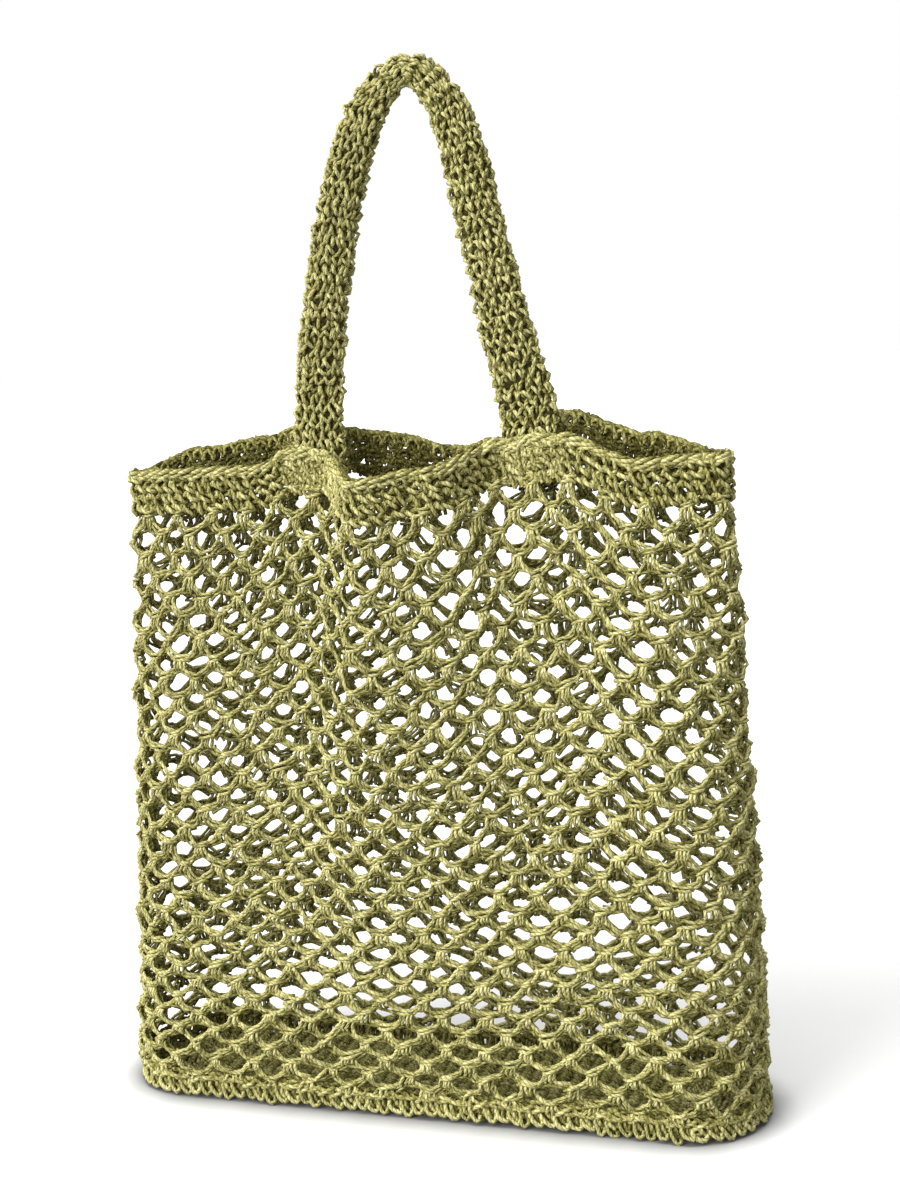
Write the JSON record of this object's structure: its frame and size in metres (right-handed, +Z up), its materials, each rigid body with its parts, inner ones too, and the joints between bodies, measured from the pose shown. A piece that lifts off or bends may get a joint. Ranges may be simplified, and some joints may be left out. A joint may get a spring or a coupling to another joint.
{
  "type": "straw tote bag",
  "caption": "Crocheted straw tote bag with a dense flat base, an open net body, a dense rim band around the pinched mouth and a tall shoulder strap.",
  "frame": {"origin": "on the floor under the middle of the base", "axes": "+Z up towards the strap, +X to the right along the front, +Y to the back"},
  "size_m": [0.412, 0.102, 0.6383],
  "materials": {
    "straw_twine": "matte olive twisted paper straw"
  },
  "bodies": {
    "root": {"base_panel": "straw_twine", "base_edge": "straw_twine", "net_body": "straw_twine", "rim_band": "straw_twine", "shoulder_strap": "straw_twine"}
  },
  "joints": []
}
